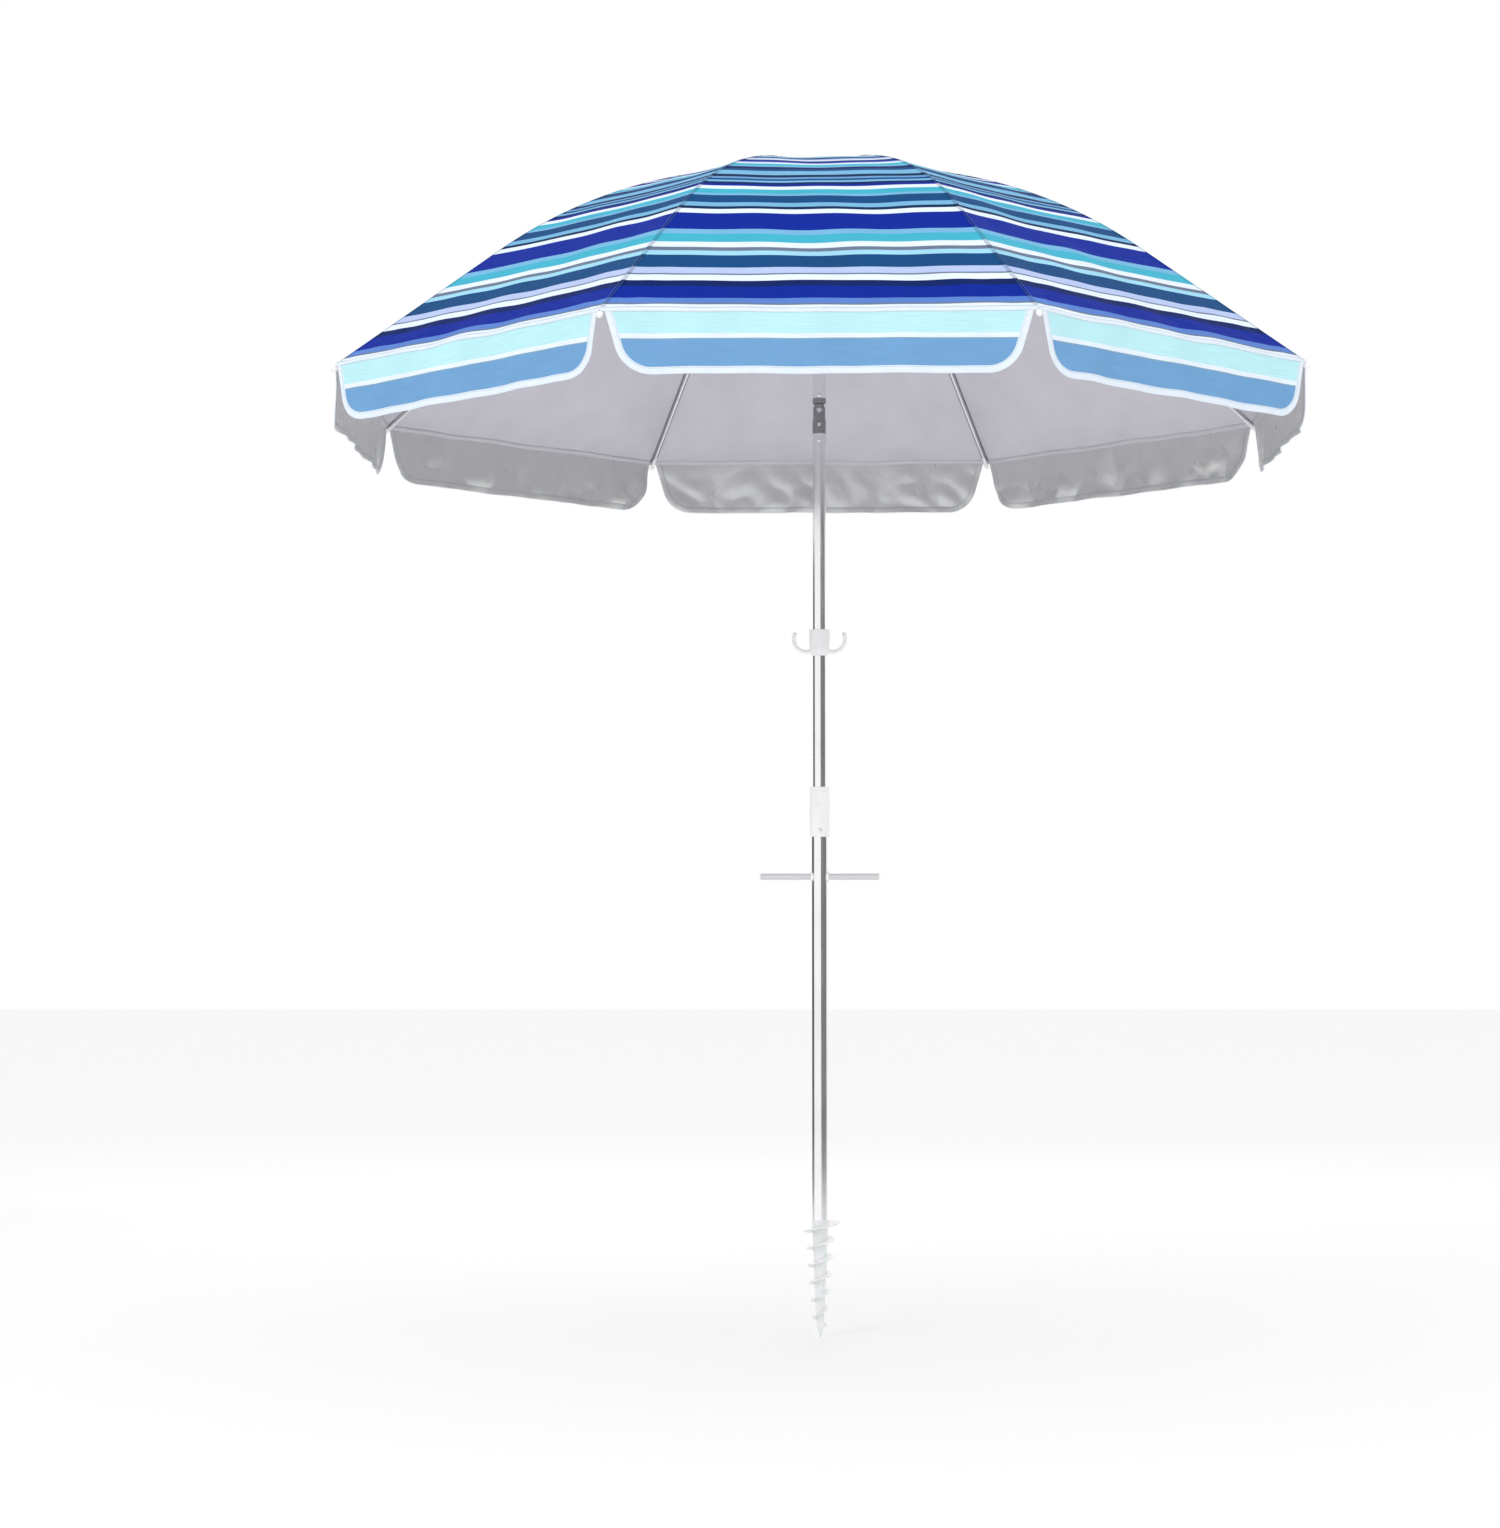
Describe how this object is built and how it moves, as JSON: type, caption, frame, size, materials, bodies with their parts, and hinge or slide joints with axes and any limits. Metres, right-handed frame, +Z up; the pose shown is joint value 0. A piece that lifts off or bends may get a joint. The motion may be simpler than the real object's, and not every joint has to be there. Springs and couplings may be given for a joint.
{
  "type": "beach umbrella",
  "caption": "Panelled beach umbrella with a scalloped valance, tilting telescopic steel pole, sliding runner, hook collar, cross handle and sand screw.",
  "frame": {"origin": "on the pole axis at sand level, where the lower tube meets the sand screw", "axes": "+Z up the pole, -Y towards the front of the umbrella, +X to its right along the cross handle"},
  "size_m": [1.7326, 1.7326, 2.2073],
  "materials": {
    "screw_plastic": "satin",
    "steel_tube": "polished",
    "white_plastic": "satin",
    "rivet_steel": "polished",
    "spring_steel": "satin",
    "bar_paint": "satin",
    "tilt_metal": "satin",
    "rib_steel": "satin",
    "striped_cloth": "matte"
  },
  "bodies": {
    "lower_pole": {"sand_anchor": "screw_plastic", "lower_tube": "steel_tube", "height_ferrule": "white_plastic", "lower_pole_rivets": "rivet_steel", "handle_grommets": "white_plastic", "height_spring": "spring_steel"},
    "height_button": {"height_button": "white_plastic"},
    "handle": {"handle_bar": "bar_paint", "handle_end_caps": "white_plastic"},
    "mast": {"mast_tube": "steel_tube", "mast_foot_bush": "white_plastic", "tilt_lower_knuckle": "tilt_metal", "tilt_pin": "rivet_steel", "mast_rivet": "rivet_steel", "tilt_button_spring": "spring_steel"},
    "tilt_button": {"tilt_button": "rivet_steel"},
    "hook_collar": {"hook_collar": "white_plastic"},
    "crown": {"top_tube": "steel_tube", "tilt_upper_knuckle": "tilt_metal", "top_tube_rivet": "rivet_steel", "top_notch": "white_plastic", "notch_wire": "spring_steel", "crown_cap": "white_plastic", "crown_patch": "striped_cloth", "catch_spring": "spring_steel"},
    "runner_catch": {"runner_catch": "spring_steel"},
    "runner": {"runner": "white_plastic"},
    "rib_1": {"rib_1": "rib_steel", "rib_tip_1": "white_plastic", "canopy_sector_1": "striped_cloth"},
    "rib_2": {"rib_2": "rib_steel", "rib_tip_2": "white_plastic", "canopy_sector_2": "striped_cloth"},
    "rib_3": {"rib_3": "rib_steel", "rib_tip_3": "white_plastic", "canopy_sector_3": "striped_cloth"},
    "rib_4": {"rib_4": "rib_steel", "rib_tip_4": "white_plastic", "canopy_sector_4": "striped_cloth"},
    "rib_5": {"rib_5": "rib_steel", "rib_tip_5": "white_plastic", "canopy_sector_5": "striped_cloth"},
    "rib_6": {"rib_6": "rib_steel", "rib_tip_6": "white_plastic", "canopy_sector_6": "striped_cloth"},
    "rib_7": {"rib_7": "rib_steel", "rib_tip_7": "white_plastic", "canopy_sector_7": "striped_cloth"},
    "rib_8": {"rib_8": "rib_steel", "rib_tip_8": "white_plastic", "canopy_sector_8": "striped_cloth"},
    "stretcher_1": {"stretcher_1": "rib_steel"},
    "stretcher_2": {"stretcher_2": "rib_steel"},
    "stretcher_3": {"stretcher_3": "rib_steel"},
    "stretcher_4": {"stretcher_4": "rib_steel"},
    "stretcher_5": {"stretcher_5": "rib_steel"},
    "stretcher_6": {"stretcher_6": "rib_steel"},
    "stretcher_7": {"stretcher_7": "rib_steel"},
    "stretcher_8": {"stretcher_8": "rib_steel"}
  },
  "joints": [
    {"name": "mast_slide", "type": "slide", "parent": "lower_pole", "child": "mast", "axis": [0, 0, 1], "range_m": [0, 0.09]},
    {"name": "height_button_push", "type": "slide", "parent": "lower_pole", "child": "height_button", "axis": [0, 1, 0], "range_m": [0, 0.0025], "stiffness_N_per_m": 900, "springref_m": -0.003, "deforming": ["height_spring"]},
    {"name": "handle_slide", "type": "slide", "parent": "lower_pole", "child": "handle", "axis": [1, 0, 0], "range_m": [-0.09, 0.09]},
    {"name": "hook_collar_slide", "type": "slide", "parent": "mast", "child": "hook_collar", "axis": [0, 0, 1], "range_m": [-0.22, 0.35]},
    {"name": "tilt", "type": "hinge", "parent": "mast", "child": "crown", "pos_m": [0, 0, 1.507], "axis": [0, 1, 0], "range_deg": [-40, 0]},
    {"name": "tilt_button_push", "type": "slide", "parent": "mast", "child": "tilt_button", "axis": [0, 1, 0], "range_m": [0, 0.0018], "stiffness_N_per_m": 1200, "springref_m": -0.002, "deforming": ["tilt_button_spring"]},
    {"name": "runner_catch_push", "type": "slide", "parent": "crown", "child": "runner_catch", "axis": [0, -1, 0], "range_m": [0, 0.0018], "stiffness_N_per_m": 900, "springref_m": -0.003, "deforming": ["catch_spring"]},
    {"name": "runner_slide", "type": "slide", "parent": "crown", "child": "runner", "axis": [0, 0, -1], "range_m": [0, 0.2868], "deforming": ["canopy_sector_1", "canopy_sector_2", "canopy_sector_3", "canopy_sector_4", "canopy_sector_5", "canopy_sector_6", "canopy_sector_7", "canopy_sector_8"]},
    {"name": "rib_1_hinge", "type": "hinge", "parent": "crown", "child": "rib_1", "pos_m": [0.01848, 0.00765, 1.97047], "axis": [-0.3827, 0.9239, 0], "range_deg": [0, 54.1]},
    {"name": "stretcher_1_hinge", "type": "hinge", "parent": "rib_1", "child": "stretcher_1", "pos_m": [0.20266, 0.08394, 1.9272], "axis": [-0.3827, 0.9239, 0], "range_deg": [-108.2, 0]},
    {"name": "rib_2_hinge", "type": "hinge", "parent": "crown", "child": "rib_2", "pos_m": [0.00765, 0.01848, 1.97047], "axis": [-0.9239, 0.3827, 0], "range_deg": [0, 54.1]},
    {"name": "stretcher_2_hinge", "type": "hinge", "parent": "rib_2", "child": "stretcher_2", "pos_m": [0.08394, 0.20266, 1.9272], "axis": [-0.9239, 0.3827, 0], "range_deg": [-108.2, 0]},
    {"name": "rib_3_hinge", "type": "hinge", "parent": "crown", "child": "rib_3", "pos_m": [-0.00765, 0.01848, 1.97047], "axis": [-0.9239, -0.3827, 0], "range_deg": [0, 54.1]},
    {"name": "stretcher_3_hinge", "type": "hinge", "parent": "rib_3", "child": "stretcher_3", "pos_m": [-0.08394, 0.20266, 1.9272], "axis": [-0.9239, -0.3827, 0], "range_deg": [-108.2, 0]},
    {"name": "rib_4_hinge", "type": "hinge", "parent": "crown", "child": "rib_4", "pos_m": [-0.01848, 0.00765, 1.97047], "axis": [-0.3827, -0.9239, 0], "range_deg": [0, 54.1]},
    {"name": "stretcher_4_hinge", "type": "hinge", "parent": "rib_4", "child": "stretcher_4", "pos_m": [-0.20266, 0.08394, 1.9272], "axis": [-0.3827, -0.9239, 0], "range_deg": [-108.2, 0]},
    {"name": "rib_5_hinge", "type": "hinge", "parent": "crown", "child": "rib_5", "pos_m": [-0.01848, -0.00765, 1.97047], "axis": [0.3827, -0.9239, 0], "range_deg": [0, 54.1]},
    {"name": "stretcher_5_hinge", "type": "hinge", "parent": "rib_5", "child": "stretcher_5", "pos_m": [-0.20266, -0.08394, 1.9272], "axis": [0.3827, -0.9239, 0], "range_deg": [-108.2, 0]},
    {"name": "rib_6_hinge", "type": "hinge", "parent": "crown", "child": "rib_6", "pos_m": [-0.00765, -0.01848, 1.97047], "axis": [0.9239, -0.3827, 0], "range_deg": [0, 54.1]},
    {"name": "stretcher_6_hinge", "type": "hinge", "parent": "rib_6", "child": "stretcher_6", "pos_m": [-0.08394, -0.20266, 1.9272], "axis": [0.9239, -0.3827, 0], "range_deg": [-108.2, 0]},
    {"name": "rib_7_hinge", "type": "hinge", "parent": "crown", "child": "rib_7", "pos_m": [0.00765, -0.01848, 1.97047], "axis": [0.9239, 0.3827, 0], "range_deg": [0, 54.1]},
    {"name": "stretcher_7_hinge", "type": "hinge", "parent": "rib_7", "child": "stretcher_7", "pos_m": [0.08394, -0.20266, 1.9272], "axis": [0.9239, 0.3827, 0], "range_deg": [-108.2, 0]},
    {"name": "rib_8_hinge", "type": "hinge", "parent": "crown", "child": "rib_8", "pos_m": [0.01848, -0.00765, 1.97047], "axis": [0.3827, 0.9239, 0], "range_deg": [0, 54.1]},
    {"name": "stretcher_8_hinge", "type": "hinge", "parent": "rib_8", "child": "stretcher_8", "pos_m": [0.20266, -0.08394, 1.9272], "axis": [0.3827, 0.9239, 0], "range_deg": [-108.2, 0]}
  ],
  "couplings": [
    {"joint": "rib_1_hinge", "follows": "runner_slide", "rad_per_m": 3.2862},
    {"joint": "stretcher_1_hinge", "follows": "runner_slide", "rad_per_m": -6.5724},
    {"joint": "rib_2_hinge", "follows": "runner_slide", "rad_per_m": 3.2862},
    {"joint": "stretcher_2_hinge", "follows": "runner_slide", "rad_per_m": -6.5724},
    {"joint": "rib_3_hinge", "follows": "runner_slide", "rad_per_m": 3.2862},
    {"joint": "stretcher_3_hinge", "follows": "runner_slide", "rad_per_m": -6.5724},
    {"joint": "rib_4_hinge", "follows": "runner_slide", "rad_per_m": 3.2862},
    {"joint": "stretcher_4_hinge", "follows": "runner_slide", "rad_per_m": -6.5724},
    {"joint": "rib_5_hinge", "follows": "runner_slide", "rad_per_m": 3.2862},
    {"joint": "stretcher_5_hinge", "follows": "runner_slide", "rad_per_m": -6.5724},
    {"joint": "rib_6_hinge", "follows": "runner_slide", "rad_per_m": 3.2862},
    {"joint": "stretcher_6_hinge", "follows": "runner_slide", "rad_per_m": -6.5724},
    {"joint": "rib_7_hinge", "follows": "runner_slide", "rad_per_m": 3.2862},
    {"joint": "stretcher_7_hinge", "follows": "runner_slide", "rad_per_m": -6.5724},
    {"joint": "rib_8_hinge", "follows": "runner_slide", "rad_per_m": 3.2862},
    {"joint": "stretcher_8_hinge", "follows": "runner_slide", "rad_per_m": -6.5724}
  ]
}
